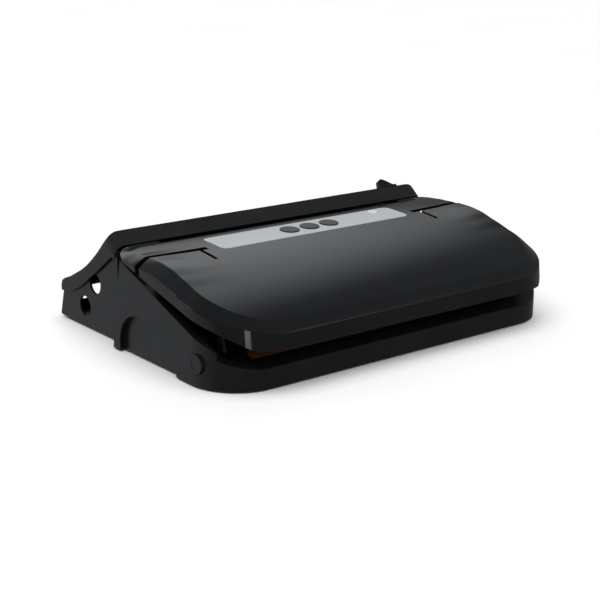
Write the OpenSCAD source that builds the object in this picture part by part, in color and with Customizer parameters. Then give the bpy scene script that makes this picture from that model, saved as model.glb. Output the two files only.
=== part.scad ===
// Countertop vacuum sealer: hinged lid with push buttons, base with sealing bar and
// pump, and a bag-roll compartment with a hinged cover and a sliding cutter behind it.
// X runs along the width, Y from front to back, Z up. The lid stands slightly open.

/* [Base] */
// Width of the base
body_w = 398; // [330:1:480]
// Depth of the base at the bottom
base_d = 176; // [166:1:215]
// Height of the front wall
front_h = 18.2; // [16:0.1:24]
// Height of the parting line between bottom cover and housing
seam_h = 11; // [9:0.5:13]
// Radius of the front corners
corner_r = 48; // [30:1:60]
// Wall thickness of the housings
wall = 2.5; // [2:0.1:3]
// Slope of the deck, degrees
deck_slope = 21; // [18:0.5:22]
// Width of each raised side cheek
cheek_w = 8; // [6:0.5:12]
// Height of the rubber feet below the base
foot_h = 1.5; // [1:0.1:3]

/* [Lid] */
// How far the lid stands out past each side of the base
lid_side = 1; // [0.5:0.1:3]
// How far the lid overhangs the front wall
lid_overhang = 9.8; // [4:0.1:12]
// Height of the lid's upright rim at the front
rim_h = 13.5; // [10:0.1:16]
// Inward lean of the lid's sides above the rim
top_inset = 20; // [12:0.5:24]
// Radius of the curved top surface
top_radius = 400; // [360:1:560]
// Angle at which the lid stands open
lid_open = 6; // [2:0.5:8]
// Width of the slots near the rear corners
slot_w = 7; // [2:0.1:8]
// Length of each slot across the lid
slot_l = 75; // [50:1:80]

/* [Controls] */
// Width of the control plate
plate_w = 227; // [200:1:260]
// Depth of the control plate
plate_d = 36; // [32:1:40]
// Diameter of each push button
button_d = 19; // [12:0.5:20]
// Spacing of the push buttons
button_pitch = 24; // [22:0.5:30]
// Travel of the push buttons
button_travel = 0.8; // [0.4:0.1:1.2]
// Diameter of the side release buttons
release_d = 17; // [14:0.5:18]

/* [Sealing] */
// Distance from each end of the sealing bar to the side
bar_margin = 39; // [34:1:60]
// Width of the sealing bar
bar_w = 10; // [8:0.5:12]
// How much shorter the drip tray is than the bar
tray_short = 10; // [4:1:30]
// Width of the drip tray
tray_w = 40; // [30:1:44]

/* [Roll compartment] */
// Step from each side of the base to the roll compartment's cover
roll_inset = 9; // [5:0.5:20]
// Depth of the roll compartment behind the base
roll_d = 119.5; // [100:0.5:140]
// Height of the cover's ridge
ridge_h = 102; // [98:1:115]
// Diameter of the holes in the end plates
hub_d = 20; // [12:0.5:22]

/* [Hidden] */
$fn = 64;
gap = 0.3;
run = 0.05;
lid_w = body_w + 2 * lid_side;
roll_w = body_w - 2 * roll_inset;
bar_l = body_w - 2 * bar_margin;
tray_l = bar_l - tray_short;

// Side lines of the base: y and z in the base's own upright frame, front wall at y = 0.
rear_lean = 16;
top_y = base_d - rear_lean;
cheek_slope = tan(20.1);
cheek_y0 = 40;
cheek_z0 = front_h + 23;
cheek_end = cheek_z0 + cheek_slope * (top_y - cheek_y0);
deck_rise = tan(deck_slope);
deck_flat_y = 104;
deck_flat_z = front_h + deck_rise * deck_flat_y;
function bez2(a, b, c, t) = (1-t)*(1-t)*a + 2*t*(1-t)*b + t*t*c;
function bez3(a, b, c, d, t) = (1-t)*bez2(a, b, c, t) + t*bez2(b, c, d, t);
function cheek_curve(dz) = [for (t = [0 : 0.125 : 1])
    bez2([0, front_h], [14, cheek_z0 - 26 * cheek_slope], [cheek_y0, cheek_z0], t) + [0, dz]];
function deck_z(y) = y < deck_flat_y ? front_h + deck_rise * y : deck_flat_z;
function rear_y(z) = base_d - rear_lean * z / cheek_end;

// Lid, drawn closed and then turned open about the hinge.
hinge_y = top_y + 8;
hinge_z = cheek_end + 0.5;
hinge_pin_r = 2.5;
post_x = body_w/2 - 47;
post_w = 12;
lid_y0 = -lid_overhang;
lid_y1 = hinge_y + 10;
rim_z0 = front_h + 0.3;
rim_slope = (cheek_end + 2 - rim_z0 - rim_h) / (top_y - lid_y0);
function rim_z(y) = rim_z0 + rim_h + rim_slope * (y - lid_y0);
lid_wall = 2.5;
lid_r = corner_r + 18;
lid_rear_r = 30;
top_mid_y = top_y - 21.5;
// The curved top passes through a point over the front rim and one near the back.
top_back = [top_mid_y, hinge_z + 3.1];
top_front = [lid_y0 + 10.5, rim_z0 + rim_h + 7.3];
top_chord = top_back - top_front;
top_drop = sqrt(pow(top_radius, 2) - pow(norm(top_chord) / 2, 2)) / norm(top_chord);
top_cy = (top_front[0] + top_back[0]) / 2 + top_drop * top_chord[1];
top_cz = (top_front[1] + top_back[1]) / 2 - top_drop * top_chord[0];
slot_in = lid_w/2 - slot_l;
slot_y = hinge_y - 41.5;
slot_run = 24.5;
slot_leg = 4;
liner_lift = 8;

// Whole object: the frame's origin is under the middle of its outline.
front_reach = hinge_y - (hinge_y - lid_y0) * cos(lid_open) + (rim_z0 - hinge_z) * sin(lid_open);
rear_reach = base_d + roll_d;
y_mid = (front_reach + rear_reach) / 2;

// Sealing parts lie along the sloped deck.
bar_s = 15;
tray_s = 58;
gasket_h = 3.5;
gasket_w = 7;

// Roll compartment.
ply = 2.5;
plate_x = roll_w / 2 - 2.5;
plate_t = 2.5;
ridge_y = base_d + 22;
cover_front = [base_d + 9, ridge_h - 11];
ridge = [ridge_y, ridge_h];
cover_rear = [rear_reach - 14.5, 41];
pivot = [rear_reach - 18, 34.3];
pivot_r = 3;
knob_x = roll_w / 2 - 31;
function cover_bez(t) = bez3(ridge, ridge + [16, -10], cover_rear + [-43, 13], cover_rear, t);
function cover_dir(t) = cover_bez(t + 0.01) - cover_bez(t - 0.01);
function off(p, d, o) = p + o * [d[1], -d[0]] / norm(d);
function cover_line(o) = concat(
    [off(cover_front, [13, 11], o), off(ridge, [12.5, 1.5], o * 1.1)],
    [for (t = [0.06 : 0.094 : 1]) off(cover_bez(t), cover_dir(t), o)],
    [off(cover_rear + [5, -3], [3, -3], o), off(cover_rear + [7, -8], [0.5, -5], o),
    off(cover_rear + [7, -13], [0, -5], o)]);

release_y = 40;
release_z = seam_h + 1 + release_d / 2;

control_y = top_mid_y;
function top_angle(y) = asin((top_cy - y) / top_radius);

// Placement helpers.
module place() { translate([0, -y_mid, foot_h]) children(); }
module lid_place() {
    place() translate([0, hinge_y, hinge_z]) rotate([-lid_open, 0, 0])
        translate([0, -hinge_y, -hinge_z]) children();
}
module along_x(w) { rotate([90, 0, 90]) linear_extrude(w, center = true) children(); }
module rod_x(r, w) { rotate([0, 90, 0]) cylinder(r = r, h = w, center = true); }
module box(x, y, z) {
    translate([x[0], y[0], z[0]]) cube([x[1] - x[0], y[1] - y[0], z[1] - z[0]]);
}
module deck_place() { translate([0, 0, front_h]) rotate([deck_slope, 0, 0]) children(); }
// A frame on the lid's top surface, z along the outward normal.
module top_place(x) {
    translate([0, top_cy, top_cz]) rotate([top_angle(control_y), 0, 0])
        translate([x, 0, top_radius]) children();
}
module plan(w, y0, y1, rf, rr) {
    translate([-w/2 + rf, y0]) square([w - 2*rf, rf + 1]);
    translate([-w/2, y0 + rf]) square([w, y1 - y0 - rf - rr]);
    translate([-w/2 + rr, y1 - rr - 1]) square([w - 2*rr, rr + 1]);
    for (s = [-1, 1]) {
        translate([s * (w/2 - rf), y0 + rf]) circle(rf, $fn = 96);
        translate([s * (w/2 - rr), y1 - rr]) circle(rr);
    }
}
module ring(w, d, t, r) {
    difference() {
        plan(w, -d/2, d/2, r, r);
        plan(w - 2*t, -d/2 + t, d/2 - t, r - t, r - t);
    }
}

// The arched recess in each side wall, grown by g.
module arch(depth, g) {
    arch_y0 = 71;
    arch_y1 = base_d - 12;
    arch_z = 38.5;
    arch_r = 30;
    for (s = [-1, 1]) translate([s * (body_w/2 - depth/2 + 1), 0, 0]) along_x(depth + 2) {
        translate([arch_y0 - g, -1]) square([arch_y1 - arch_y0 + 2*g, arch_z - arch_r + 1]);
        translate([arch_y0 + arch_r - g, 5])
            square([arch_y1 - arch_y0 - 2*arch_r + 2*g, arch_z - 5 + g]);
        for (y = [arch_y0 + arch_r, arch_y1 - arch_r])
            translate([y, arch_z - arch_r]) circle(arch_r + g);
    }
}
arch_depth = 5;

module base_outline(z0, z1, o) {
    translate([0, 0, z0]) linear_extrude(z1 - z0)
        plan(body_w - 2*o, o, base_d + 5, corner_r - o, 4);
}
module rear_cut(z0, z1, o) {
    along_x(body_w + 4) polygon([[-5, z0], [rear_y(z0) - o, z0], [rear_y(z1) - o, z1], [-5, z1]]);
}

// Bottom cover with its screw bosses.
boss_x = body_w/2 - 37.5;
boss_at = [[-boss_x, 30], [boss_x, 30], [0, 33], [-boss_x, 60], [boss_x, 60], [-26, top_y - 10]];
module base_cover() {
    color("#17191a") place() difference() {
        intersection() { base_outline(0, seam_h, 0); rear_cut(0, seam_h, 0); }
        difference() {
            intersection() {
                base_outline(wall, seam_h + 1, wall);
                rear_cut(wall, seam_h + 1, wall);
            }
            arch(arch_depth + wall, wall);
            for (b = boss_at) translate([b[0], b[1], 0]) cylinder(r = 5, h = seam_h + 2);
        }
        arch(arch_depth, 0);
        for (b = boss_at) translate([b[0], b[1], -1]) {
            cylinder(r = 1.7, h = seam_h + 3);
            cylinder(r = 3.4, h = 5);
        }
        box([body_w/2 - 12, body_w/2], [118, 144], [8, seam_h + 1]);
    }
}

// Upper housing: cheeks, deck, tray pit, bar groove, hinge posts and latch slots.
module base_housing() {
    pit_l = tray_l + 1;
    pit_w = tray_w + 1;
    color("#1d1f20") place() difference() {
        union() {
            difference() {
                intersection() {
                    base_outline(seam_h, cheek_end + 2, 0);
                    along_x(body_w + 2) polygon(concat([[0, seam_h]], cheek_curve(0),
                        [[top_y, cheek_end], [rear_y(seam_h), seam_h]]));
                }
                along_x(body_w - 2*cheek_w) polygon([[-1, front_h], [0, front_h],
                    [deck_flat_y, deck_flat_z], [base_d, deck_flat_z], [base_d, 120], [-1, 120]]);
                difference() {
                    intersection() {
                        base_outline(seam_h - 1, cheek_end, wall);
                        along_x(body_w) polygon([[wall, seam_h - 1], [wall, front_h - wall],
                            [deck_flat_y, deck_flat_z - wall], [rear_y(deck_flat_z) - wall,
                            deck_flat_z - wall], [rear_y(seam_h) - wall, seam_h - 1]]);
                    }
                    arch(arch_depth + wall, wall);
                }
            }
            deck_place() box([-pit_l/2 - wall, pit_l/2 + wall], [tray_s - wall,
                tray_s + pit_w + wall], [-11, -1]);
            deck_place() box([-bar_l/2 - 5, bar_l/2 + 5], [bar_s - 2, bar_s + bar_w + 2.5], [-5, -1]);
            for (s = [-1, 1]) translate([s * (post_x - post_w/2 - 5), 0, 0]) hinge_post();
            for (b = boss_at) translate([b[0], b[1], seam_h])
                cylinder(r = 4, h = deck_z(b[1] - 4) - 0.3 - seam_h);
        }
        arch(arch_depth, 0);
        deck_place() box([-pit_l/2, pit_l/2], [tray_s, tray_s + pit_w], [-8.5, 5]);
        deck_place() box([-bar_l/2 - 2, bar_l/2 + 2], [bar_s, bar_s + bar_w + 0.5], [-3, 5]);
        deck_place() for (s = [-1, 1])
            translate([s * (bar_l/2 - 10), bar_s + bar_w/2, -8]) cylinder(r = 1.6, h = 10);
        for (s = [-1, 1]) {
            box([s * (body_w/2 - 21) - 4.5, s * (body_w/2 - 21) + 4.5], [20, 52], [16, 60]);
            translate([s * body_w/2, release_y, release_z]) rod_x(release_d/2 + 0.4, 24);
            translate([s * (post_x - post_w/2 - 5), hinge_y, hinge_z]) rod_x(hinge_pin_r, 30);
        }
        for (b = boss_at) translate([b[0], b[1], seam_h - 1]) cylinder(r = 1.2, h = 6);
        box([body_w/2 - 12, body_w/2], [118, 144], [seam_h - 1, 26]);
        translate([-43, tray_s + 40, front_h + 26]) rotate([-90, 0, 0]) cylinder(r = 2, h = 20);
    }
}
module hinge_post() {
    along_x(post_w) difference() {
        union() {
            translate([hinge_y, hinge_z]) circle(4.8);
            polygon([[top_y - 18, deck_flat_z - 1], [top_y - 3, deck_flat_z - 1],
                [hinge_y + 2.5, hinge_z - 4], [hinge_y - 4.2, hinge_z + 2.2]]);
        }
        translate([hinge_y, hinge_z]) circle(hinge_pin_r);
    }
}

module rubber_feet() {
    color("#101112") translate([0, -y_mid, 0]) {
        for (s = [-1, 1]) {
            for (y = [26, 58]) translate([s * (body_w/2 - 22 - (y < 40 ? 26 : 0)), y, 0])
                cylinder(r = 6, h = foot_h);
            translate([s * (roll_w/2 - 30), rear_reach - 20, 0]) cylinder(r = 6, h = foot_h + 1);
        }
    }
}

module drip_tray() {
    color("#3a3d3f") place() deck_place() translate([0, tray_s + 0.5, -8.5]) difference() {
        box([-tray_l/2, tray_l/2], [0, tray_w], [0, 8]);
        box([-tray_l/2 + 1.5, tray_l/2 - 1.5], [1.5, tray_w - 1.5], [1.5, 9]);
    }
}
module gasket_ring(n0) {
    deck_place() translate([0, tray_s + 0.5 + tray_w/2, n0]) linear_extrude(gasket_h)
        ring(tray_l + 2 * (gasket_w + 2.5), tray_w + 2 * (gasket_w + 2), gasket_w, 11);
}
module lower_gasket() { color("#0c0d0d") place() gasket_ring(0); }
module heater_bar() {
    color("#2a2c2d") place() deck_place()
        box([-bar_l/2, bar_l/2], [bar_s + 0.25, bar_s + 0.25 + bar_w], [-3, 0.6]);
}
module heating_wire() {
    color("#b9a58a") place() deck_place()
        box([-bar_l/2 + 3, bar_l/2 - 3], [bar_s + bar_w/2 - 1.2, bar_s + bar_w/2 + 1.3], [0.6, 0.9]);
}
module tape_strip() {
    color("#7a4526") place() deck_place()
        box([-bar_l/2, bar_l/2], [bar_s + 0.25, bar_s + bar_w + 0.25], [0.9, 1.2]);
}

// Pump, electrics and switches on the bottom cover, behind the tray pit.
pump_x = -95;
pump_y = top_y - 22;
pump_z = 30;
pump_r = 14;
module pump_motor() {
    color("#9a9ea0") place() translate([pump_x, pump_y, pump_z]) {
        rod_x(pump_r, 52);
        translate([-28, 0, 0]) rod_x(4, 5);
    }
}
module pump_head() {
    color("#26282a") place() difference() {
        box([pump_x + 26, pump_x + 60], [pump_y - 17, pump_y + 16], [pump_z - 17, pump_z + 18]);
        translate([pump_x + 52, pump_y - 8, pump_z + 14]) rotate([90, 0, 0]) cylinder(r = 3, h = 12);
    }
}
module pump_bracket() {
    color("#8b8f91") place() difference() {
        union() {
            for (dx = [-18, 14]) box([pump_x + dx, pump_x + dx + 4],
                [pump_y - 15, pump_y + 15], [wall, pump_z]);
            box([pump_x - 26, pump_x + 22], [pump_y - 15, pump_y + 15], [wall, wall + 3]);
        }
        translate([pump_x, pump_y, pump_z]) rod_x(pump_r, 60);
    }
}
module vacuum_hose() {
    hose_y0 = tray_s + 40.5;
    color("#c9ccce") place() difference() {
        translate([pump_x + 52, hose_y0, pump_z + 14]) rotate([-90, 0, 0])
            cylinder(r = 2.9, h = pump_y - 8 - hose_y0);
        translate([pump_x + 52, hose_y0 - 1, pump_z + 14]) rotate([-90, 0, 0]) cylinder(r = 1.6, h = 60);
    }
}
module vacuum_sensor() {
    color("#2f5d8a") place() box([pump_x + 60, pump_x + 76], [pump_y - 10, pump_y + 4],
        [pump_z - 4, pump_z + 10]);
}
coil_x = 100;
module transformer_core() {
    color("#6d7072") place() difference() {
        box([coil_x - 24, coil_x + 24], [top_y - 38, top_y - 6], [wall, 46]);
        box([coil_x - 14, coil_x + 14], [top_y - 39, top_y - 5], [14, 36]);
    }
}
module transformer_coil() {
    color("#b06a2c") place() difference() {
        box([coil_x - 14, coil_x + 14], [top_y - 41, top_y - 3], [14, 36]);
        box([coil_x - 8, coil_x + 8], [top_y - 30, top_y - 14], [13, 37]);
    }
}
module power_board() {
    color("#2c6b3c") place() union() {
        box([-15, 65], [top_y - 42, top_y - 4], [wall + 5, wall + 6.6]);
        for (x = [-11, 61]) for (y = [top_y - 38, top_y - 8]) translate([x, y, wall])
            cylinder(r = 2.5, h = 5);
    }
}
module board_parts() {
    color("#44474a") place() {
        box([-10, 6], [top_y - 34, top_y - 20], [wall + 6.6, wall + 22]);
        for (x = [16, 30]) translate([x, top_y - 28, wall + 6.6]) cylinder(r = 5, h = 14);
        box([42, 60], [top_y - 34, top_y - 14], [wall + 6.6, wall + 18]);
        for (i = [0 : 4]) box([-8 + i*9, -4 + i*9], [top_y - 14, top_y - 8], [wall + 6.6, wall + 10]);
    }
}
module power_inlet() {
    color("#222425") place() difference() {
        box([body_w/2 - 22, body_w/2 - arch_depth + 1], [118.4, 143.6], [8.4, 25.6]);
        box([body_w/2 - 16, body_w/2], [121.5, 140.5], [12, 22]);
    }
}
module lid_switch() {
    color("#303335") place() box([post_x + 10, post_x + 28], [deck_flat_y + 10, deck_flat_y + 18],
        [deck_flat_z - wall - 11, deck_flat_z - wall]);
}
module case_screws() {
    color("#8f9496") place() for (b = boss_at) translate([b[0], b[1], 1]) {
        cylinder(r = 1.2, h = seam_h + 3);
        cylinder(r = 3, h = 3);
    }
}
module hinge_pins() {
    color("#a9adaf") place() for (s = [-1, 1])
        translate([s * (post_x - 5), hinge_y, hinge_z]) rod_x(hinge_pin_r, 34);
}
module lid_springs() {
    color("#7d8183") place() for (s = [-1, 1])
        translate([s * (post_x - post_w - 8.4), hinge_y, hinge_z]) difference() {
            rod_x(3.6, 6);
            rod_x(hinge_pin_r, 8);
        }
}

// Release buttons with their catches, pushed in along X.
module release_side(s) { place() translate([s * body_w/2, release_y, release_z]) children(); }
module release_button(s) {
    difference() {
        translate([s * -3.2, 0, 0]) rod_x(release_d/2, 8.4);
        translate([s * 1.2, 0, 0]) rod_x(release_d/2 - 2.2, 1);
    }
    translate([s * -9.6, 0, 0]) rod_x(3, 5);
}
module release_button_left() { color("#131415") release_side(-1) release_button(-1); }
module release_button_right() { color("#131415") release_side(1) release_button(1); }
// A frame the latch hook drops into; its inner bar holds the hook's nose.
module catch_frame(s) {
    difference() {
        translate([s * -20.55, 0, 1]) cube([16.9, 20, 5], center = true);
        translate([s * -20, 0, 1]) cube([10, 15, 6], center = true);
    }
}
module catch_left() { color("#5c6062") release_side(-1) catch_frame(-1); }
module catch_right() { color("#5c6062") release_side(1) catch_frame(1); }
module release_springs() {
    color("#7d8183") for (s = [-1, 1]) release_side(s) {
        translate([s * -38.5, 0, 0]) box([-1.5, 1.5], [-4, 4], [wall - release_z, 4]);
        translate([s * -34.75, 0, 0]) difference() { rod_x(3.2, 4.5); rod_x(2.2, 6); }
    }
}

// Lid shell: rim band plus a convex body under the curved top.
module top_cylinder(o) {
    translate([0, top_cy, top_cz]) rotate([0, 90, 0])
        cylinder(r = top_radius - o, h = lid_w + 20, center = true, $fn = 240);
}
// An outline laid along the sloping rim, still true to size when seen from above.
module lid_ledge(dz, t) {
    lean = atan(rim_slope);
    translate([0, lid_y0, rim_z(lid_y0) + dz]) rotate([lean, 0, 0]) linear_extrude(t)
        scale([1, 1 / cos(lean)]) children();
}
module lid_body(o) {
    intersection() {
        hull() {
            lid_ledge(-1, 1) plan(lid_w - 2*(o + 0.8), o + 0.8, lid_y1 - lid_y0 - o - 0.8,
                lid_r - o, lid_rear_r - o);
            lid_ledge(13.7, 1) plan(lid_w - 2*(o + top_inset), o + top_inset + 20,
                lid_y1 - lid_y0 - o - 0.8, lid_r - o - 14, lid_rear_r - o);
        }
        top_cylinder(o);
    }
    intersection() {
        linear_extrude(120) plan(lid_w - 2*o, lid_y0 + o, lid_y1 - o, lid_r - o, lid_rear_r - o);
        along_x(lid_w + 2) polygon(concat([[lid_y0 - 1, rim_z(lid_y0)], [lid_y0 - 1, rim_z0 - 2*o],
            [0, rim_z0 - 2*o]], [for (p = cheek_curve(0.6 - 2*o)) if (p[0] > 0) p],
            [[top_y, cheek_end + 0.6 - 2*o], [lid_y1 + 1, cheek_end + 0.6 - 2*o],
            [lid_y1 + 1, rim_z(lid_y1 + 1)]]));
    }
}
module lid_slots() {
    slot_z = cheek_z0 + cheek_slope * (slot_y - cheek_y0) - 1;
    for (s = [-1, 1]) {
        translate([s * (slot_in + slot_l/2 + 1), slot_y + slot_w/2, slot_z + 30])
            cube([slot_l + 2, slot_w, 60], center = true);
        translate([s * (slot_in + slot_w + slot_leg/2), slot_y - slot_run/2 + 1, slot_z + 30])
            cube([slot_leg, slot_run + 2, 60], center = true);
    }
}
module lid_shell() {
    color("#191b1c") lid_place() difference() {
        union() {
            difference() { lid_body(0); lid_body(lid_wall); }
            intersection() {
                for (s = [-1, 1]) translate([s * (post_x + 6), 0, 0]) along_x(8) {
                    translate([hinge_y, hinge_z]) circle(5.4);
                    translate([hinge_y - 5.4, hinge_z]) square([10.8, 14]);
                }
                top_cylinder(1);
            }
            for (p = liner_at) translate([p[0], p[1], liner_z(p[1] + 3.5) + 2])
                cylinder(r = 3.5, h = top_z(p[1]) - 1.7 - liner_z(p[1] + 3.5) - 2);
            intersection() {
                box([-notch_x, notch_x], [lid_y1 - 10.5, lid_y1 - 8], [hinge_z - 9, 120]);
                top_cylinder(1);
            }
        }
        for (s = [-1, 1]) {
            translate([s * (post_x + 6), hinge_y, hinge_z]) rod_x(hinge_pin_r + run, 10);
            translate([s * (post_x - post_w/2 - 7), hinge_y, hinge_z]) rod_x(5.5, post_w + 6);
        }
        box([-notch_x - 21, notch_x + 21], [lid_y1 - 8, lid_y1 + 1], [60, 120]);
        lid_slots();
        plate_form(plate_w, plate_d, -1.2, 2);
        for (i = [-1 : 1]) top_place(i * button_pitch) translate([0, 0, -9])
            cylinder(r = button_d/2 + 0.3, h = 12);
        top_place(lens_x) translate([0, 10, -8]) cylinder(r = 5.3, h = 12);
        for (p = liner_at) translate([p[0], p[1], liner_z(p[1]) - 1]) cylinder(r = 1.2, h = 8);
    }
}
lens_x = 89;
screw_x = body_w/2 - 71;
liner_at = [[-screw_x, 8], [0, 8], [screw_x, 8], [34 - body_w/2, 104], [body_w/2 - 34, 104]];
function liner_z(y) = (y < deck_flat_y ? front_h + deck_rise * y : deck_flat_z) + liner_lift;
function top_z(y) = top_cz + sqrt(pow(top_radius, 2) - pow(top_cy - y, 2));
notch_x = post_x - 25;

// A curved plate in the lid's top, z0 to z1 above the surface.
module plate_form(w, d, z0, z1) {
    difference() {
        intersection() {
            translate([0, 0, 40]) linear_extrude(80)
                plan(w, control_y - d/2, control_y + d/2, 6, 6);
            top_cylinder(-z1);
        }
        top_cylinder(-z0);
    }
}
module control_plate() {
    color("#c3c7c9") lid_place() difference() {
        plate_form(plate_w - 0.2, plate_d - 0.2, -1.2, 0.2);
        for (i = [-1 : 1]) top_place(i * button_pitch) translate([0, 0, -9])
            cylinder(r = button_d/2 + 0.3, h = 12);
        top_place(lens_x) translate([0, 10, -8]) cylinder(r = 5.3, h = 12);
    }
}
module lid_liner() {
    lw = body_w - 2*cheek_w - 4;
    color("#232627") lid_place() difference() {
        intersection() {
            linear_extrude(120) plan(lw, lid_y0 + lid_wall + 0.5, top_y - 4, lid_r - 6, 6);
            along_x(lid_w) polygon([[-20, liner_z(-20)], [deck_flat_y, liner_z(deck_flat_y)],
                [top_y, liner_z(top_y)], [top_y, liner_z(top_y) + 2],
                [deck_flat_y, liner_z(deck_flat_y) + 2], [-20, liner_z(-20) + 2]]);
        }
        for (s = [-1, 1]) box([s*(post_x - 6) - 19, s*(post_x - 6) + 19], [top_y - 24, top_y + 9],
            [40, 120]);
        for (p = liner_at) translate([p[0], p[1], 20]) cylinder(r = 1.5, h = 80);
    }
}
module control_board() {
    color("#2c6b3c") lid_place() top_place(10) {
        translate([0, 0, -8.6]) box([-60, 100], [-16, 15], [0, 1.5]);
        for (x = [-55, 95]) for (y = [-11, 11]) translate([x, y, -7.2]) cylinder(r = 2, h = 4.5);
    }
}
module push_switches() {
    color("#303335") lid_place() for (i = [-1 : 1])
        top_place(i * button_pitch) translate([0, 0, -7.1]) box([-3, 3], [-3, 3], [0, 2.4]);
}
module indicator_lens() {
    color("#e9eef0") lid_place() top_place(lens_x) translate([0, 10, -7]) {
        cylinder(r = 5, h = 7.6);
        cylinder(r = 6.6, h = 3.6);
    }
}
module push_button(i) {
    lid_place() top_place(i * button_pitch) {
        translate([0, 0, -3.2]) cylinder(r = button_d/2, h = 4.4);
        translate([0, 0, -3.8]) cylinder(r = 2, h = 1);
    }
}
module vacuum_button() { color("#2b2e30") push_button(-1); }
module seal_button() { color("#2b2e30") push_button(0); }
module mode_button() { color("#2b2e30") push_button(1); }

module lid_deck() { translate([0, 0, front_h]) rotate([deck_slope, 0, 0]) children(); }
liner_n = liner_lift * cos(deck_slope);
module press_strip() {
    color("#8d9092") lid_place() lid_deck()
        box([-bar_l/2, bar_l/2], [bar_s - 0.5, bar_s + bar_w + 1], [1.6, liner_n]);
}
module upper_gasket() {
    color("#0c0d0d") lid_place() translate([0, 0, 0]) lid_deck()
        translate([0, tray_s + 0.5 + tray_w/2, gasket_h + 0.4]) linear_extrude(liner_n - gasket_h - 0.4)
            ring(tray_l + 2 * (gasket_w + 2.5), tray_w + 2 * (gasket_w + 2), gasket_w, 11);
}
module latch_hooks() {
    y0 = release_y - 4;
    y1 = release_y + 4;
    color("#202223") lid_place() for (s = [-1, 1]) {
        translate([s * (body_w/2 - 21.5), 0, 0]) along_x(3) polygon([[y0, release_z - 6],
            [y1, release_z - 6], [y1, liner_z(y1)], [y0, liner_z(y0)]]);
        translate([s * (body_w/2 - 23.8), 0, 0]) along_x(1.6) polygon([[y0, release_z - 6],
            [y1, release_z - 6], [y1, release_z - 2.5], [y0, release_z - 2.5]]);
    }
}
module liner_screws() {
    color("#8f9496") lid_place() for (p = liner_at) translate([p[0], p[1], liner_z(p[1]) - 2.4]) {
        cylinder(r = 1.2, h = 8);
        cylinder(r = 2.6, h = 1.2);
    }
}

// Roll compartment: trough, end plates, hinged cover and cutter.
module roll_tray() {
    lip = 14;
    color("#1a1c1d") place() along_x(2 * (plate_x - plate_t)) polygon([
        [rear_y(1) + gap, 1], [rear_reach - 4, 1], [rear_reach - 5, lip], [rear_reach - 7.5, lip],
        [rear_reach - 6.5, 1 + ply], [rear_y(1) + ply + 1.2, 1 + ply],
        [rear_y(60) + ply + 1, 60 + ply], [hinge_y + 17.5, 60 + ply], [cover_front[0] + 1, 62 + ply],
        [cover_front[0] + 1, ridge_h - 16], [cover_front[0] - 1.5, ridge_h - 16],
        [cover_front[0] - 1.5, 62 + 2*ply], [hinge_y, 60 + 2*ply], [rear_y(66) + gap, 60 + 2*ply],
        [rear_y(64) + gap, 60 + ply]]);
}
hub_at = [[base_d + 50.5, 46.9], [base_d + 70.5, 20.3]];
module end_plate(s) {
    cover_under = cover_line(ply + 0.5);
    color("#1d1f20") place() translate([s * (plate_x - plate_t/2), 0, 0]) difference() {
        along_x(plate_t) polygon(concat(
            [[rear_y(1) + gap, 1], [rear_y(62) + gap, 62], [hinge_y + 15.5, 62],
            [hinge_y + 15.5, ridge_h - 16.5], [hinge_y + 16.2, ridge_h - 15.8]],
            [for (i = [1 : 12]) cover_under[i]],
            [pivot + [3, 3.8], pivot + [9.5, -2], [rear_reach, 2.5], [rear_reach - 1.5, 1]]));
        for (h = hub_at) translate([0, h[0], h[1]]) rod_x(hub_d/2, 10);
        translate([0, pivot[0], pivot[1]]) rod_x(pivot_r, 10);
    }
}
module end_plate_left() { end_plate(-1); }
module end_plate_right() { end_plate(1); }
module cover_pins() {
    color("#0f1011") place() for (s = [-1, 1]) translate([s * (roll_w/2 - 3.1), pivot[0], pivot[1]])
        rod_x(pivot_r, 6);
}
module roll_cover() {
    outer = cover_line(0);
    inner = cover_line(ply);
    flange = cover_line(14);
    last = len(outer) - 1;
    color("#1b1d1e") place() difference() {
        union() {
            along_x(roll_w) polygon(concat(outer, [for (i = [last : -1 : 0]) inner[i]]));
            for (s = [-1, 1]) translate([s * (roll_w/2 - 1.1), 0, 0]) along_x(2.2)
                polygon(concat(outer, [for (i = [last - 3 : -1 : 1]) flange[i]]));
        }
        for (s = [-1, 1]) {
            translate([s * (roll_w/2 - 1), pivot[0], pivot[1]]) rod_x(pivot_r + run, 6);
            translate([s * (plate_x - plate_t/2), 0, 0]) box([-plate_t/2 - 0.5, plate_t/2 + 0.5],
                [cover_rear[0] - 16, rear_reach + 2], [0, 60]);
        }
        rail_tilt() box([-roll_w/2 + 16, roll_w/2 - 16], [-3, 7], [-1.5, 12]);
    }
}
rail_at = [ridge_y + 6, ridge_h - 5];
module rail_tilt() { translate([0, rail_at[0], rail_at[1]]) rotate([-35, 0, 0]) children(); }
module rail_place() { place() rail_tilt() children(); }
module cutter_rail() {
    color("#26292a") rail_place() difference() {
        box([-roll_w/2 + 16, roll_w/2 - 16], [-3, 7], [-1.5, 2.6]);
        box([-roll_w/2 + 17, roll_w/2 - 17], [0.6, 3.4], [0, 4]);
    }
}
module cutter_slider() {
    color("#141616") rail_place() translate([knob_x, 0, 0]) {
        box([-12, 12], [-2.6, 6.6], [2.7, 5]);
        box([-8, 8], [0.9, 3.1], [0.4, 3]);
        along_slider() polygon([[-11, 4], [-9, 11], [-5, 13.5], [-1, 12], [7, 7], [11, 4]]);
    }
}
module along_slider() { translate([0, 4.6, 0]) rotate([90, 0, 0]) linear_extrude(5.5) children(); }
module cutter_blade() {
    color("#c9ced1") rail_place() translate([knob_x, 0, 0]) box([8, 11.5], [1.85, 2.15], [0.6, 2.7]);
}

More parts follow.
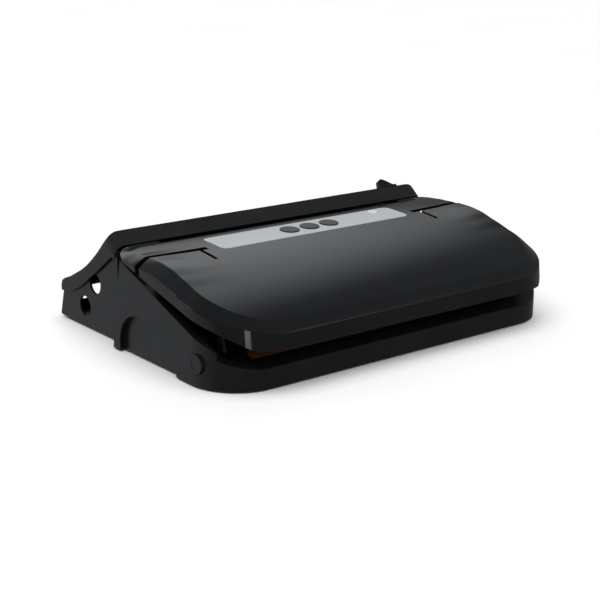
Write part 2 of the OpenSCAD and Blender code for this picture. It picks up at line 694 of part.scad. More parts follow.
base_cover();
base_housing();
rubber_feet();
drip_tray();
lower_gasket();
heater_bar();
heating_wire();
tape_strip();
pump_motor();
pump_head();
pump_bracket();
vacuum_hose();
vacuum_sensor();
transformer_core();
transformer_coil();
power_board();
board_parts();
power_inlet();
lid_switch();
case_screws();
hinge_pins();
lid_springs();
roll_tray();
end_plate_left();
end_plate_right();
cover_pins();
release_button_left();
release_button_right();
catch_left();
catch_right();
release_springs();
lid_shell();
lid_liner();
control_plate();
control_board();
push_switches();
indicator_lens();
vacuum_button();
seal_button();
mode_button();
press_strip();
upper_gasket();
latch_hooks();
liner_screws();
roll_cover();
cutter_rail();
cutter_slider();
cutter_blade();
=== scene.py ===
# Countertop vacuum sealer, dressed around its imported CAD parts.
import math
import bpy
from mathutils import Matrix, Vector


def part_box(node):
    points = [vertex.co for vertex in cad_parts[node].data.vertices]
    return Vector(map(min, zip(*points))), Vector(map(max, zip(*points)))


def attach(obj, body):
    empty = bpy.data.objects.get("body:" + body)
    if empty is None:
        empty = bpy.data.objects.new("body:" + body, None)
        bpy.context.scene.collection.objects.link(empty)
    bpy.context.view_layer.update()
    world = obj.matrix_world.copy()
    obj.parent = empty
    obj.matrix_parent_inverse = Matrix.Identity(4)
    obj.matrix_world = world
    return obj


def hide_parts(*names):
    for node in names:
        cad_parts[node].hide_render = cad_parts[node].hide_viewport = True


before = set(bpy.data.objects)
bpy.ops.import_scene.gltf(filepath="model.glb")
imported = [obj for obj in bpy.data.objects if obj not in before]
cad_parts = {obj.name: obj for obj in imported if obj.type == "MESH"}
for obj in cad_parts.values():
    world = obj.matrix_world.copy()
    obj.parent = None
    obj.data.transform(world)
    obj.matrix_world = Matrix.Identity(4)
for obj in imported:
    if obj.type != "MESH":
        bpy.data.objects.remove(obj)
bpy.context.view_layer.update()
mm = 0.001

# Measures below are in millimetres from the foot of the base's front wall, its own upright frame.
coverLow, coverHigh = [Vector(corner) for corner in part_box("base_cover")]
pinLow, pinHigh = [Vector(corner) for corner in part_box("hinge_pins")]
hinge = (pinLow + pinHigh) / 2
hingeY = (hinge.y - coverLow.y) / mm
hingeZ = (hinge.z - coverLow.z) / mm
halfWidth = coverHigh.x / mm


def at(x, y, z):
    return Vector((x * mm, coverLow.y + y * mm, coverLow.z + z * mm))


def toLinear(hexColour, alpha=1.0):
    # sRGB hex to linear RGBA
    parts = [int(hexColour[i:i + 2], 16) / 255 for i in (1, 3, 5)]
    return [p / 12.92 if p <= 0.04045 else ((p + 0.055) / 1.055) ** 2.4 for p in parts] + [alpha]


def addNode(tree, kind, settings=None, inputs=None, stops=None):
    # settings are the node's own properties; an input is a value or (node, its output);
    # stops are a colour ramp's two (place, colour) ends
    node = tree.nodes.new(kind)
    for key, value in (settings or {}).items():
        setattr(node, key, value)
    for key, value in (inputs or {}).items():
        if isinstance(value, tuple) and not isinstance(value[0], (int, float)):
            tree.links.new(value[0].outputs[value[1]], node.inputs[key])
        else:
            node.inputs[key].default_value = value
    if stops:
        for element, (place, colour) in zip(node.color_ramp.elements, stops):
            element.position = place
            element.color = toLinear(colour)
    return node


def newMaterial(name):
    material = bpy.data.materials.new(name)
    material.use_nodes = True
    tree = material.node_tree
    tree.nodes.clear()
    place = addNode(tree, "ShaderNodeTexCoord")
    return material, tree, place


def finishMaterial(tree, shader):
    addNode(tree, "ShaderNodeOutputMaterial", None, {"Surface": (shader, "BSDF")})


toneLow, toneHigh = 0.35, 0.68  # the stretch of a noise's range in which one colour turns to the other
glossLow, glossHigh = 0.3, 0.7  # the stretch of a noise's range over which the gloss changes


def mouldedPlastic(name, look):
    # one colour with faint flow marks, a moulded grain, and handling that dulls the gloss in patches
    material, tree, place = newMaterial(name)
    flow = addNode(tree, "ShaderNodeTexNoise", None, {
        "Vector": (place, "Object"), "Scale": 1 / (look["flow"] * mm), "Detail": 3.0})
    tint = addNode(tree, "ShaderNodeValToRGB", None, {"Fac": (flow, "Fac")},
                   [(toneLow, look["colour"]), (toneHigh, look["paler"])])
    wipe = addNode(tree, "ShaderNodeTexNoise", None, {
        "Vector": (place, "Object"), "Scale": 1 / (look["wipe"] * mm), "Detail": 4.0, "Distortion": 0.6})
    gloss = addNode(tree, "ShaderNodeMapRange", None, {
        "Value": (wipe, "Fac"), "From Min": glossLow, "From Max": glossHigh,
        "To Min": look["rough"] - look["smudge"], "To Max": look["rough"] + look["smudge"]})
    grain = addNode(tree, "ShaderNodeTexNoise", None, {
        "Vector": (place, "Object"), "Scale": 1 / (look["grain"] * mm), "Detail": 2.0})
    bump = addNode(tree, "ShaderNodeBump", None, {
        "Height": (grain, "Fac"), "Strength": 1.0, "Distance": look["depth"] * mm})
    shader = addNode(tree, "ShaderNodeBsdfPrincipled", None, {
        "Base Color": (tint, "Color"), "Roughness": (gloss, "Result"), "IOR": look["ior"],
        "Normal": (bump, "Normal")})
    finishMaterial(tree, shader)
    return material


def plainMetal(name, look):
    # rolled or turned metal: fine lines along one way and a little dull film
    material, tree, place = newMaterial(name)
    stretch = addNode(tree, "ShaderNodeMapping", None, {
        "Vector": (place, "Object"), "Scale": look["stretch"]})
    lines = addNode(tree, "ShaderNodeTexNoise", None, {
        "Vector": (stretch, "Vector"), "Scale": 1 / (look["line"] * mm), "Detail": 3.0})
    tint = addNode(tree, "ShaderNodeValToRGB", None, {"Fac": (lines, "Fac")},
                   [(toneLow, look["colour"]), (toneHigh, look["paler"])])
    gloss = addNode(tree, "ShaderNodeMapRange", None, {
        "Value": (lines, "Fac"), "From Min": glossLow, "From Max": glossHigh,
        "To Min": look["rough"] - 0.06, "To Max": look["rough"] + 0.08})
    bump = addNode(tree, "ShaderNodeBump", None, {
        "Height": (lines, "Fac"), "Strength": 1.0, "Distance": 0.01 * mm})
    shader = addNode(tree, "ShaderNodeBsdfPrincipled", None, {
        "Base Color": (tint, "Color"), "Roughness": (gloss, "Result"), "Metallic": look["metal"],
        "Normal": (bump, "Normal")})
    finishMaterial(tree, shader)
    return material


# Mould-polished ABS: an even, deep black gloss that mirrors the room, with only a slow waviness.
polishedAbs = mouldedPlastic("Polished_black_ABS", {
    "colour": "#0b0c0d", "paler": "#0e0f10", "flow": 60, "wipe": 22, "rough": 0.13, "smudge": 0.02,
    "grain": 34, "depth": 0.03, "ior": 1.52})
# The same ABS from a plainer steel face: softer reflections, hardly any grain.
satinAbs = mouldedPlastic("Satin_black_ABS", {
    "colour": "#101112", "paler": "#151617", "flow": 40, "wipe": 12, "rough": 0.3, "smudge": 0.03,
    "grain": 0.6, "depth": 0.006, "ior": 1.46})
# Spark-grained ABS: a fine even texture that leaves a broad, dull sheen.
mattAbs = mouldedPlastic("Spark_grained_black_ABS", {
    "colour": "#17191a", "paler": "#1d1f20", "flow": 50, "wipe": 15, "rough": 0.42, "smudge": 0.03,
    "grain": 0.8, "depth": 0.02, "ior": 1.46})
# Plain moulded ABS for trays, boards' fittings and inner walls.
innerAbs = mouldedPlastic("Plain_moulded_ABS", {
    "colour": "#131415", "paler": "#1a1b1c", "flow": 30, "wipe": 10, "rough": 0.42, "smudge": 0.04,
    "grain": 0.9, "depth": 0.015, "ior": 1.46})
# Dark warm ABS of the push buttons, slightly polished by fingers.
buttonAbs = mouldedPlastic("Warm_dark_ABS", {
    "colour": "#241f1e", "paler": "#2c2625", "flow": 9, "wipe": 4, "rough": 0.3, "smudge": 0.06,
    "grain": 0.4, "depth": 0.006, "ior": 1.46})
# Metal-flake paint on moulded plastic: pale warm grey with a fine sparkle of flake.
silverPaint = mouldedPlastic("Silver_flake_paint", {
    "colour": "#a0a4a6", "paler": "#b0b4b6", "flow": 0.5, "wipe": 18, "rough": 0.36, "smudge": 0.04,
    "grain": 0.35, "depth": 0.008, "ior": 1.5})
# Closed-cell foam: soft, dead black, with tiny cells.
cellFoam = mouldedPlastic("Closed_cell_foam", {
    "colour": "#0c0d0d", "paler": "#171818", "flow": 1.1, "wipe": 4, "rough": 0.85, "smudge": 0.05,
    "grain": 0.7, "depth": 0.12, "ior": 1.4})
# Solid rubber of the feet and the press strip, dusty and dull.
footRubber = mouldedPlastic("Black_moulded_rubber", {
    "colour": "#121212", "paler": "#1b1b1b", "flow": 6, "wipe": 5, "rough": 0.7, "smudge": 0.06,
    "grain": 0.6, "depth": 0.03, "ior": 1.5})
siliconeRubber = mouldedPlastic("Grey_silicone_rubber", {
    "colour": "#77797b", "paler": "#85888a", "flow": 12, "wipe": 7, "rough": 0.55, "smudge": 0.05,
    "grain": 0.5, "depth": 0.01, "ior": 1.43})
# Soft clear tubing looks milky where it curves.
milkyTube = mouldedPlastic("Milky_PVC_tube", {
    "colour": "#b9bdc0", "paler": "#cbcfd2", "flow": 8, "wipe": 6, "rough": 0.3, "smudge": 0.05,
    "grain": 2.0, "depth": 0.01, "ior": 1.52})
sensorShell = mouldedPlastic("Blue_sensor_resin", {
    "colour": "#28507a", "paler": "#315d8b", "flow": 5, "wipe": 4, "rough": 0.35, "smudge": 0.05,
    "grain": 0.5, "depth": 0.01, "ior": 1.5})
circuitBoard = mouldedPlastic("Green_soldermask", {
    "colour": "#1f5a33", "paler": "#2a6d40", "flow": 3, "wipe": 5, "rough": 0.3, "smudge": 0.05,
    "grain": 0.8, "depth": 0.02, "ior": 1.5})
pressedSteel = plainMetal("Zinc_plated_steel", {
    "colour": "#8f9496", "paler": "#a7acae", "stretch": (1.0, 6.0, 6.0), "line": 1.2, "rough": 0.34,
    "metal": 1.0})
motorSteel = plainMetal("Grey_lacquered_steel", {
    "colour": "#6b6f71", "paler": "#7d8183", "stretch": (1.0, 3.0, 3.0), "line": 1.6, "rough": 0.42,
    "metal": 0.8})
copperWire = plainMetal("Lacquered_copper_wire", {
    "colour": "#9a4f24", "paler": "#b9683a", "stretch": (8.0, 1.0, 1.0), "line": 0.8, "rough": 0.3,
    "metal": 1.0})
nichromeWire = plainMetal("Nickel_chrome_ribbon", {
    "colour": "#a39078", "paler": "#b9a58a", "stretch": (1.0, 6.0, 6.0), "line": 0.8, "rough": 0.35,
    "metal": 1.0})


def wovenTape(name):
    # PTFE-coated glass cloth: a brown plain weave of 0.7 mm threads, coarser than the real one so
    # that it shows, and glazed over
    material, tree, place = newMaterial(name)
    turns = 2 * math.pi / (20 * 0.7 * mm)
    across = addNode(tree, "ShaderNodeTexWave", {"bands_direction": "X"}, {
        "Vector": (place, "Object"), "Scale": turns, "Distortion": 0.3})
    lengthwise = addNode(tree, "ShaderNodeTexWave", {"bands_direction": "Y"}, {
        "Vector": (place, "Object"), "Scale": turns, "Distortion": 0.3})
    weave = addNode(tree, "ShaderNodeMix", {"data_type": "FLOAT"}, {
        "Factor": 0.5, "A": (across, "Fac"), "B": (lengthwise, "Fac")})
    stain = addNode(tree, "ShaderNodeTexNoise", None, {
        "Vector": (place, "Object"), "Scale": 1 / (9 * mm), "Detail": 4.0, "Distortion": 0.5})
    tint = addNode(tree, "ShaderNodeValToRGB", None, {"Fac": (stain, "Fac")},
                   [(toneLow, "#6e3a20"), (toneHigh, "#8a4c2b")])
    bump = addNode(tree, "ShaderNodeBump", None, {
        "Height": (weave, "Result"), "Strength": 1.0, "Distance": 0.05 * mm})
    shader = addNode(tree, "ShaderNodeBsdfPrincipled", None, {
        "Base Color": (tint, "Color"), "Roughness": 0.38, "IOR": 1.38, "Normal": (bump, "Normal")})
    finishMaterial(tree, shader)
    return material


def clearLens(name):
    # frosted polycarbonate light guide: pale, slightly see-through, softly glossy
    material, tree, place = newMaterial(name)
    cloud = addNode(tree, "ShaderNodeTexNoise", None, {
        "Vector": (place, "Object"), "Scale": 1 / (3 * mm), "Detail": 3.0})
    tint = addNode(tree, "ShaderNodeValToRGB", None, {"Fac": (cloud, "Fac")},
                   [(toneLow, "#dfe5e8"), (toneHigh, "#f2f6f7")])
    gloss = addNode(tree, "ShaderNodeMapRange", None, {
        "Value": (cloud, "Fac"), "From Min": glossLow, "From Max": glossHigh,
        "To Min": 0.12, "To Max": 0.24})
    shader = addNode(tree, "ShaderNodeBsdfPrincipled", None, {
        "Base Color": (tint, "Color"), "Roughness": (gloss, "Result"), "IOR": 1.58,
        "Subsurface Weight": 0.35, "Subsurface Scale": 2 * mm, "Transmission Weight": 0.2})
    finishMaterial(tree, shader)
    return material


coatedTape = wovenTape("PTFE_coated_glass_cloth")
lightGuide = clearLens("Frosted_polycarbonate")
print("materials made")


def alone(piece):
    bpy.ops.object.select_all(action="DESELECT")
    piece.select_set(True)
    bpy.context.view_layer.objects.active = piece


def startBox(name, low, high):
    # a box between two corners, its place put into its mesh
    bpy.ops.object.select_all(action="DESELECT")
    bpy.ops.mesh.primitive_cube_add(size=1, location=(low + high) / 2, scale=high - low)
    bpy.ops.object.transform_apply(location=True, rotation=True, scale=True)
    piece = bpy.context.active_object
    piece.name = name
    return piece


def copyNode(node, name):
    # a CAD node's own shape, its loose triangles merged
    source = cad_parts[node]
    piece = source.copy()
    piece.data = source.data.copy()
    piece.name = name
    bpy.context.collection.objects.link(piece)
    place = source.matrix_world.copy()
    piece.parent = None
    piece.matrix_world = place
    piece.data.materials.clear()
    alone(piece)
    bpy.ops.object.transform_apply(location=True, rotation=True, scale=True)
    bpy.ops.object.mode_set(mode="EDIT")
    bpy.ops.mesh.select_all(action="SELECT")
    bpy.ops.mesh.remove_doubles(threshold=0.002 * mm)
    bpy.ops.mesh.dissolve_limited(angle_limit=math.radians(0.4))
    bpy.ops.object.mode_set(mode="OBJECT")
    return piece


def pick(piece, test, kind="VERT"):
    # selects what passes the test: corners by place, faces by centre and normal
    alone(piece)
    bpy.ops.object.mode_set(mode="EDIT")
    bpy.ops.mesh.select_mode(type=kind)
    bpy.ops.mesh.select_all(action="DESELECT")
    bpy.ops.object.mode_set(mode="OBJECT")
    if kind == "VERT":
        for corner in piece.data.vertices:
            corner.select = test(corner.co)
    elif kind == "EDGE":
        corners = piece.data.vertices
        for edge in piece.data.edges:
            edge.select = test(corners[edge.vertices[0]].co, corners[edge.vertices[1]].co)
    else:
        for face in piece.data.polygons:
            face.select = test(face.center, face.normal)
    bpy.ops.object.mode_set(mode="EDIT")


def endEdit():
    bpy.ops.object.mode_set(mode="OBJECT")


def sliceRows(piece, axis, places):
    # rows of edges across the piece at the given places along one axis
    alone(piece)
    bpy.ops.object.mode_set(mode="EDIT")
    normal = Vector([1.0 if i == axis else 0.0 for i in range(3)])
    for place in places:
        bpy.ops.mesh.select_all(action="SELECT")
        bpy.ops.mesh.bisect(plane_co=normal * place, plane_no=normal)
    bpy.ops.object.mode_set(mode="OBJECT")


def applied(piece, kind, **settings):
    alone(piece)
    change = piece.modifiers.new(kind.title(), kind)
    for key, value in settings.items():
        setattr(change, key, value)
    bpy.ops.object.modifier_apply(modifier=change.name)


def cutWith(piece, cutter):
    applied(piece, "BOOLEAN", operation="DIFFERENCE", solver="MANIFOLD", object=cutter)
    bpy.data.objects.remove(cutter)


def softened(piece, width, angle=32, segments=2, smooth=38):
    # moulded edges: a small live bevel, and flat faces kept flat in the shading
    alone(piece)
    bpy.ops.object.shade_smooth_by_angle(angle=math.radians(smooth))
    edge = piece.modifiers.new("Moulded edges", "BEVEL")
    edge.width = width * mm
    edge.segments = segments
    edge.limit_method = "ANGLE"
    edge.angle_limit = math.radians(angle)
    edge.use_clamp_overlap = True
    edge.harden_normals = False
    even = piece.modifiers.new("Even shading", "WEIGHTED_NORMAL")
    even.keep_sharp = True
    return piece


def finishPiece(piece, material, body, slot, *replaced):
    piece.data.materials.clear()
    piece.data.materials.append(material)
    for face in piece.data.polygons:
        face.material_index = 0
    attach(piece, body)
    if replaced:
        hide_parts(*replaced)


def turnOpen(piece, degrees):
    # from the closed drawing position to the lid's place at rest, about the hinge
    turn = Matrix.Rotation(math.radians(-degrees), 4, "X")
    piece.data.transform(Matrix.Translation(hinge) @ turn @ Matrix.Translation(-hinge))


# The lid is shaped closed, in the base's upright frame, and turned open at the end.
lidSettings = {
    "open": 6, "halfWidth": halfWidth + 1, "front": -9.8, "rear": 178.0, "frontRadius": 66,
    "rearRadius": 30, "wall": 2.5, "lowerFront": 18.5, "rimFront": 32, "rimRun": 169.8,
    "cheekFoot": 18.2, "cheekBend": 14, "cheekY": 40, "cheekZ": 41.2, "cheekAngle": 20.1, "gap": 0.6,
    "crown": 0.35, "sideFrom": 110, "sideRun": 70, "topRadius": 400, "topFront": (0.7, 39.3),
    "topBack": (138.5, hingeZ + 3.1), "row": 4.0, "frontRow": 1.6, "frontRowsTo": 8,
    "columns": (60, 110, 130, 145, 158, 168, 176),
    "bandLoops": [(0.9, 0.07), (5.4, 0.43), (5.4, 0.43), (0.9, 0.07), (0.8, 0.0)],
    "slotIn": 125, "slotOut": 206, "slotBack": 41.5, "slotWidth": 7, "slotRun": 24.5, "slotLeg": 4,
    "plateWidth": 227, "plateDepth": 36, "plateRadius": 6, "plateGap": 0.25,
    "notch": 148, "notchDeep": 8, "wallHalf": 127, "earIn": 41, "earRadius": 5.4, "earWidth": 8}
cheekEnd = hingeZ - 0.5
cheekSlope = math.tan(math.radians(lidSettings["cheekAngle"]))
# how far the rim line rises above a straight one, and the shoulder above the top, by place
rimRise = [(-9, 0), (12, 1.8), (36, 2.2), (56, 3.9), (78, 6.1), (98, 6.9), (116, 5.6), (134, 3.6),
           (150, 1.0), (178, 0)]
shoulderRise = [(60, 0), (78, 1.4), (95, 3.2), (108, 3.2), (122, 2.2), (136, 0.8), (146, 0)]


def along(pairs, y):
    # eased steps between (place, value) pairs
    if y <= pairs[0][0]:
        return pairs[0][1]
    for (y0, v0), (y1, v1) in zip(pairs, pairs[1:]):
        if y <= y1:
            t = (y - y0) / (y1 - y0)
            t = t * t * (3 - 2 * t)
            return v0 + (v1 - v0) * t
    return pairs[-1][1]


def topHeight(y):
    # an arc through the front and back points
    look = lidSettings
    (fy, fz), (by, bz) = look["topFront"], look["topBack"]
    length = math.hypot(by - fy, bz - fz)
    drop = math.sqrt(look["topRadius"] ** 2 - length ** 2 / 4) / length
    cy = (fy + by) / 2 + drop * (bz - fz)
    cz = (fz + bz) / 2 - drop * (by - fy)
    return cz + math.sqrt(look["topRadius"] ** 2 - (cy - y) ** 2)


def lowerEdge(y):
    # the lid's lower edge keeps its gap above the base's cheeks
    look = lidSettings
    bend, reach, top = look["cheekBend"], look["cheekY"], look["cheekZ"]
    if y <= 0:
        return look["lowerFront"]
    if y < reach:
        square = reach - 2 * bend
        t = (math.sqrt(bend ** 2 + square * y) - bend) / square  # the cheek's curve, solved for t
        middle = top - (reach - bend) * cheekSlope
        curve = (1 - t) ** 2 * look["cheekFoot"] + 2 * t * (1 - t) * middle + t * t * top
        return max(look["lowerFront"], curve + look["gap"])
    return min(top + cheekSlope * (y - reach), cheekEnd) + look["gap"]


def rimHeight(y):
    look = lidSettings
    slope = (cheekEnd + 2 - look["rimFront"]) / look["rimRun"]
    straight = look["rimFront"] + slope * (y - look["front"])
    return min(straight + along(rimRise, y), topHeight(y) - 0.6)


def shapedHeight(x, y, level):
    # level 0 is the lower edge, 1 the rim line, 2 the edge of the top
    look = lidSettings
    side = min(1.0, max(0.0, (abs(x) - look["sideFrom"]) / look["sideRun"])) ** 2
    top = topHeight(y) + along(shoulderRise, y) * side
    if level <= 1:
        return lowerEdge(y) + (min(rimHeight(y), top - 0.4) - lowerEdge(y)) * level
    t = min(1.0, level - 1)
    return rimHeight(y) + (top - rimHeight(y)) * (t + look["crown"] * t * (1 - t))


def makeLid():
    look = lidSettings
    half, front, rear = look["halfWidth"], look["front"], look["rear"]
    lid = startBox("lidSkin", at(-half, front, 0), at(half, rear, 1))
    for radius, endY in ((look["frontRadius"], front), (look["rearRadius"], rear)):
        edgeY = at(0, endY, 0).y
        pick(lid, lambda a, b: abs(a.y - edgeY) < 1e-5 and abs(b.y - edgeY) < 1e-5
             and abs(a.x - b.x) < 1e-6, "EDGE")
        bpy.ops.mesh.bevel(offset=radius * mm, segments=20, profile=0.5)
        endEdit()
    pick(lid, lambda centre, normal: normal.z < -0.5, "FACE")
    bpy.ops.mesh.delete(type="FACE")
    endEdit()
    # loops between the rim and the top: narrow ones hold the two edges crisp
    for inset, rise in look["bandLoops"]:
        topZ = max(corner.co.z for corner in lid.data.vertices)
        pick(lid, lambda centre, normal: abs(centre.z - topZ) < 1e-7, "FACE")
        bpy.ops.mesh.inset(thickness=inset * mm, depth=0)
        bpy.ops.transform.translate(value=(0, 0, rise * mm))
        endEdit()
    rows = []
    y = front + 1.2
    while y < rear - 1:
        rows.append(at(0, y, 0).y)
        y += look["row"] if y > look["frontRowsTo"] else look["frontRow"]
    sliceRows(lid, 1, rows)
    sliceRows(lid, 0, [s * x * mm for x in look["columns"] for s in (-1, 1)])
    base = at(0, 0, 0)
    for corner in lid.data.vertices:
        x, y, level = corner.co.x / mm, (corner.co.y - base.y) / mm, (corner.co.z - base.z) / mm
        corner.co.z = base.z + shapedHeight(x, y, level) * mm
    return lid


def roundedCutter(name, low, high, radius):
    block = startBox(name, low, high)
    pick(block, lambda a, b: abs(a.x - b.x) < 1e-6 and abs(a.y - b.y) < 1e-6, "EDGE")
    bpy.ops.mesh.bevel(offset=radius * mm, segments=6, profile=0.5)
    endEdit()
    return block


def finishLid(lid):
    # the wall, then the slots, the control plate's seat and the notch between the hinges
    look = lidSettings
    low, high = 60, 120  # heights that reach right through the top
    alone(lid)
    bpy.ops.object.mode_set(mode="EDIT")
    bpy.ops.mesh.select_all(action="SELECT")
    bpy.ops.mesh.normals_make_consistent(inside=False)
    bpy.ops.object.mode_set(mode="OBJECT")
    applied(lid, "SOLIDIFY", thickness=look["wall"] * mm, offset=-1.0, use_even_offset=True)
    print("lid wall given", len(lid.data.polygons))
    slotY = hingeY - look["slotBack"]
    for side in (-1, 1):
        inner, outer = side * look["slotIn"], side * look["slotOut"]
        lowX, highX = sorted((inner, outer))
        cutWith(lid, startBox("cut", at(lowX, slotY, low), at(highX, slotY + look["slotWidth"], high)))
        legX = inner + side * look["slotWidth"]
        lowX, highX = sorted((legX, legX + side * look["slotLeg"]))
        cutWith(lid, startBox("cut", at(lowX, slotY - look["slotRun"], low), at(highX, slotY + 1, high)))
    plateY, gap = look["topBack"][0], look["plateGap"]
    halfPlate, halfDeep = look["plateWidth"] / 2 + gap, look["plateDepth"] / 2 + gap
    cutWith(lid, roundedCutter("cut", at(-halfPlate, plateY - halfDeep, low + 10),
                               at(halfPlate, plateY + halfDeep, high), look["plateRadius"]))
    notch, notchY = look["notch"], look["rear"] - look["notchDeep"]
    cutWith(lid, startBox("cut", at(-notch, notchY, low), at(notch, look["rear"] + 3, high)))
    print("lid cut", len(lid.data.polygons))


def addHingeSide(lid):
    # the wall behind the notch and the two ears around the hinge pins
    look = lidSettings
    half = look["wallHalf"]
    extras = [startBox("backWall", at(-half, hingeY - 0.5, hingeZ - 9), at(half, hingeY + 2, hingeZ + 5.4))]
    for side in (-1, 1):
        bpy.ops.object.select_all(action="DESELECT")
        bpy.ops.mesh.primitive_cylinder_add(
            vertices=40, radius=look["earRadius"] * mm, depth=look["earWidth"] * mm,
            location=at(side * (halfWidth - look["earIn"]), hingeY, hingeZ), rotation=(0, math.pi / 2, 0))
        bpy.ops.object.transform_apply(location=True, rotation=True, scale=True)
        extras.append(bpy.context.active_object)
    bpy.ops.object.select_all(action="DESELECT")
    for piece in extras + [lid]:
        piece.select_set(True)
    bpy.context.view_layer.objects.active = lid
    bpy.ops.object.join()


lid = makeLid()
finishLid(lid)
addHingeSide(lid)
turnOpen(lid, lidSettings["open"])
softened(lid, 0.5, angle=60, segments=2, smooth=50)
finishPiece(lid, polishedAbs, "lid", "black_gloss", "lid_shell")
print("lid made")

# The roll compartment's cover is the CAD sheet with its ridge rounded off at both ends.
coverSettings = {"round": 12, "edge": 1.1, "ridgeFrom": 52, "ridgeRun": 34, "share": 0.8,
                 "steps": (0.15, 0.3, 0.5, 0.7, 0.85, 1.0)}


def makeRollCover():
    look = coverSettings
    cover = copyNode("roll_cover", "rollCover")
    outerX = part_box("roll_cover")[1][0]
    reach = look["round"] * mm
    sliceRows(cover, 0, [s * (outerX - reach * k) for k in look["steps"] for s in (-1, 1)])
    for corner in cover.data.vertices:
        over = abs(corner.co.x) - (outerX - reach)
        if over > 0:
            rise = (corner.co.z - at(0, 0, look["ridgeFrom"]).z) / (look["ridgeRun"] * mm)
            near = min(1.0, max(0.0, rise))
            drop = reach - math.sqrt(max(0.0, reach ** 2 - over ** 2))
            corner.co.z -= drop * near * look["share"]
    softened(cover, look["edge"], angle=40)
    finishPiece(cover, mattAbs, "roll_lid", "black_matt", "roll_cover")


makeRollCover()
print("roll cover made")

# Housings and smaller parts are the CAD shapes with their moulded edges.
housingSettings = [
    # node, new name, edge radius, material, body, slot
    ("base_housing", "baseHousing", 0.8, satinAbs, "base", "black_satin"),
    ("base_cover", "baseTub", 0.8, satinAbs, "base", "black_matt"),
    ("roll_tray", "rollTrough", 0.5, innerAbs, "base", "black_satin"),
    ("end_plate_left", "endPlateLeft", 0.35, satinAbs, "base", "black_satin"),
    ("end_plate_right", "endPlateRight", 0.35, satinAbs, "base", "black_satin"),
    ("control_plate", "controlPlate", 0.35, silverPaint, "lid", "silver"),
    ("vacuum_button", "vacuumKey", 0.9, buttonAbs, "key_vacuum", "dark_plastic"),
    ("seal_button", "sealKey", 0.9, buttonAbs, "key_seal", "dark_plastic"),
    ("mode_button", "modeKey", 0.9, buttonAbs, "key_mode", "dark_plastic"),
    ("indicator_lens", "indicatorLens", 0.5, lightGuide, "lid", "lens_clear"),
    ("release_button_left", "releaseKeyLeft", 0.8, satinAbs, "release_l", "black_satin"),
    ("release_button_right", "releaseKeyRight", 0.8, satinAbs, "release_r", "black_satin"),
    ("cutter_slider", "cutterKnob", 1.0, satinAbs, "cutter", "black_satin"),
    ("cutter_rail", "cutterRail", 0.3, innerAbs, "roll_lid", "dark_plastic"),
    ("tape_strip", "barTape", 0.12, coatedTape, "base", "tape_brown"),
    ("heater_bar", "heaterBar", 0.3, innerAbs, "base", "dark_plastic"),
    ("drip_tray", "dripTray", 0.6, innerAbs, "base", "dark_plastic"),
    ("lid_liner", "lidLiner", 0.5, innerAbs, "lid", "black_satin"),
    ("power_inlet", "powerInlet", 0.5, innerAbs, "base", "black_matt"),
    ("lower_gasket", "lowerGasket", 0.9, cellFoam, "base", "foam_black"),
    ("upper_gasket", "upperGasket", 0.9, cellFoam, "lid", "foam_black"),
    ("press_strip", "pressStrip", 0.8, siliconeRubber, "lid", "strip_grey"),
    ("rubber_feet", "rubberFeet", 0.4, footRubber, "base", "rubber_black"),
    ("latch_hooks", "latchHooks", 0.25, innerAbs, "lid", "black_satin"),
]
for node, name, edge, material, body, slot in housingSettings:
    finishPiece(softened(copyNode(node, name), edge), material, body, slot, node)
print("housings made")

# What stays inside is the CAD node itself, each with the finish of its real material.
nodeFinish = {
    "heating_wire": nichromeWire, "pump_motor": motorSteel, "pump_head": innerAbs,
    "pump_bracket": pressedSteel, "vacuum_hose": milkyTube, "vacuum_sensor": sensorShell,
    "transformer_core": motorSteel, "transformer_coil": copperWire, "power_board": circuitBoard,
    "board_parts": innerAbs, "lid_switch": innerAbs, "case_screws": pressedSteel,
    "hinge_pins": pressedSteel, "lid_springs": pressedSteel, "cover_pins": satinAbs,
    "catch_left": pressedSteel, "catch_right": pressedSteel, "release_springs": pressedSteel,
    "control_board": circuitBoard, "push_switches": innerAbs, "liner_screws": pressedSteel,
    "cutter_blade": pressedSteel}
for name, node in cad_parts.items():
    node.data.materials.clear()
    node.data.materials.append(nodeFinish.get(name, innerAbs))
print("inner parts finished")

roomSettings = {"floorSize": 40.0, "floorColour": "#f2f2f1", "floorPaler": "#f5f5f4", "mottle": 400}
bpy.ops.object.select_all(action="DESELECT")
bpy.ops.mesh.primitive_plane_add(size=roomSettings["floorSize"], location=(0, 0, 0))
floor = bpy.context.active_object
floor.name = "floor"
# Matt emulsion on a smooth board: white, with hardly a change of tone.
floorPaint, floorTree, floorPlace = newMaterial("Matt_white_emulsion")
floorMottle = addNode(floorTree, "ShaderNodeTexNoise", None, {
    "Vector": (floorPlace, "Object"), "Scale": 1 / (roomSettings["mottle"] * mm), "Detail": 3.0})
floorTint = addNode(floorTree, "ShaderNodeValToRGB", None, {"Fac": (floorMottle, "Fac")},
                    [(toneLow, roomSettings["floorColour"]), (toneHigh, roomSettings["floorPaler"])])
finishMaterial(floorTree, addNode(floorTree, "ShaderNodeBsdfPrincipled", None, {
    "Base Color": (floorTint, "Color"), "Roughness": 0.85}))
floor.data.materials.append(floorPaint)
floor.visible_glossy = False  # the black gloss mirrors the dim room, not the floor


def facing(azimuth, elevation):
    # the way from the object towards a light: azimuth from behind (+Y) towards the right (+X)
    a, e = math.radians(azimuth), math.radians(elevation)
    return Vector((math.sin(a) * math.cos(e), math.cos(a) * math.cos(e), math.sin(e)))


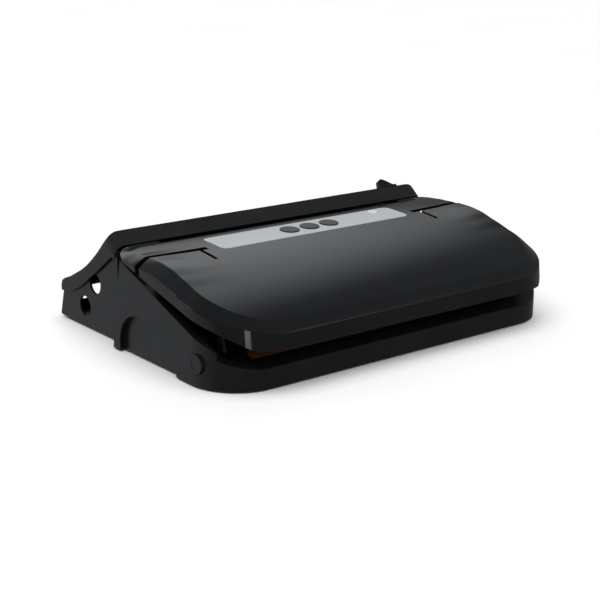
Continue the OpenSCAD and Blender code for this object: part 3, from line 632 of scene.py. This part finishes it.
# A dim room with soft glows, each fading smoothly outwards: azimuth, elevation, angle of the
# full glow, angle where it has faded, strength.
glowSettings = [(28, 36, 9, 27, 0.80), (318, -18, 12, 60, 0.24), (330, 30, 10, 50, 0.1)]
roomStrength = 0.15
world = bpy.data.worlds.new("Studio")
bpy.context.scene.world = world
world.use_nodes = True
sky = world.node_tree
sky.nodes.clear()
skyPlace = addNode(sky, "ShaderNodeTexCoord")
total = None
for azimuth, elevation, inner, outer, strength in glowSettings:
    match = addNode(sky, "ShaderNodeVectorMath", {"operation": "DOT_PRODUCT"}, {
        0: (skyPlace, "Generated"), 1: tuple(facing(azimuth, elevation))})
    glow = addNode(sky, "ShaderNodeMapRange", {"interpolation_type": "SMOOTHSTEP"}, {
        "Value": (match, "Value"), "From Min": math.cos(math.radians(outer)),
        "From Max": math.cos(math.radians(inner)), "To Min": 0.0, "To Max": strength})
    share = addNode(sky, "ShaderNodeMath", {"operation": "ADD"}, {
        0: (glow, "Result"), 1: (total, "Value") if total else roomStrength})
    total = share
backdrop = addNode(sky, "ShaderNodeBackground", None, {
    "Color": toLinear("#f8fbff"), "Strength": (total, "Value")})
addNode(sky, "ShaderNodeOutputWorld", None, {"Surface": (backdrop, "Background")})

# A wide overhead light whitens the floor; it is kept out of the glossy reflections.
bpy.ops.object.light_add(type="SUN", location=(0, 0, 3), rotation=(math.radians(12), math.radians(-10), 0))
overhead = bpy.context.active_object
overhead.name = "overhead"
overhead.data.energy = 3.1
overhead.data.angle = math.radians(70)
overhead.visible_glossy = False

# Strips that draw bright lines down the rounded corners: azimuth, elevation, distance, width,
# height, power.
lightSettings = [
    ("cornerStrip", 222, 8, 2.2, 0.10, 1.4, 1.6),
    ("leftStrip", 300, 24, 2.4, 0.5, 1.4, 1.6),
]
middle = Vector((0, 0, 0.05))
for name, azimuth, elevation, distance, width, height, power in lightSettings:
    spot = middle + distance * facing(azimuth, elevation)
    bpy.ops.object.light_add(type="AREA", location=spot,
                             rotation=(middle - spot).to_track_quat("-Z", "Y").to_euler())
    lamp = bpy.context.active_object
    lamp.name = name
    lamp.data.shape = "RECTANGLE"
    lamp.data.size = width
    lamp.data.size_y = height
    lamp.data.energy = power

cameraSettings = {"place": (-0.796, -0.8595, 0.3945), "turn": (73.633, -0.241, -38.1), "lens": 81.6}
cameraX, cameraY, cameraZ = cameraSettings["place"]  # its y is from the foot of the front wall
bpy.ops.object.camera_add(location=(cameraX, at(0, 0, 0).y + cameraY, cameraZ),
                          rotation=[math.radians(angle) for angle in cameraSettings["turn"]])
camera = bpy.context.active_object
camera.data.lens = cameraSettings["lens"]
camera.data.sensor_width = 36
bpy.context.scene.camera = camera
bpy.context.scene.view_settings.view_transform = "Standard"
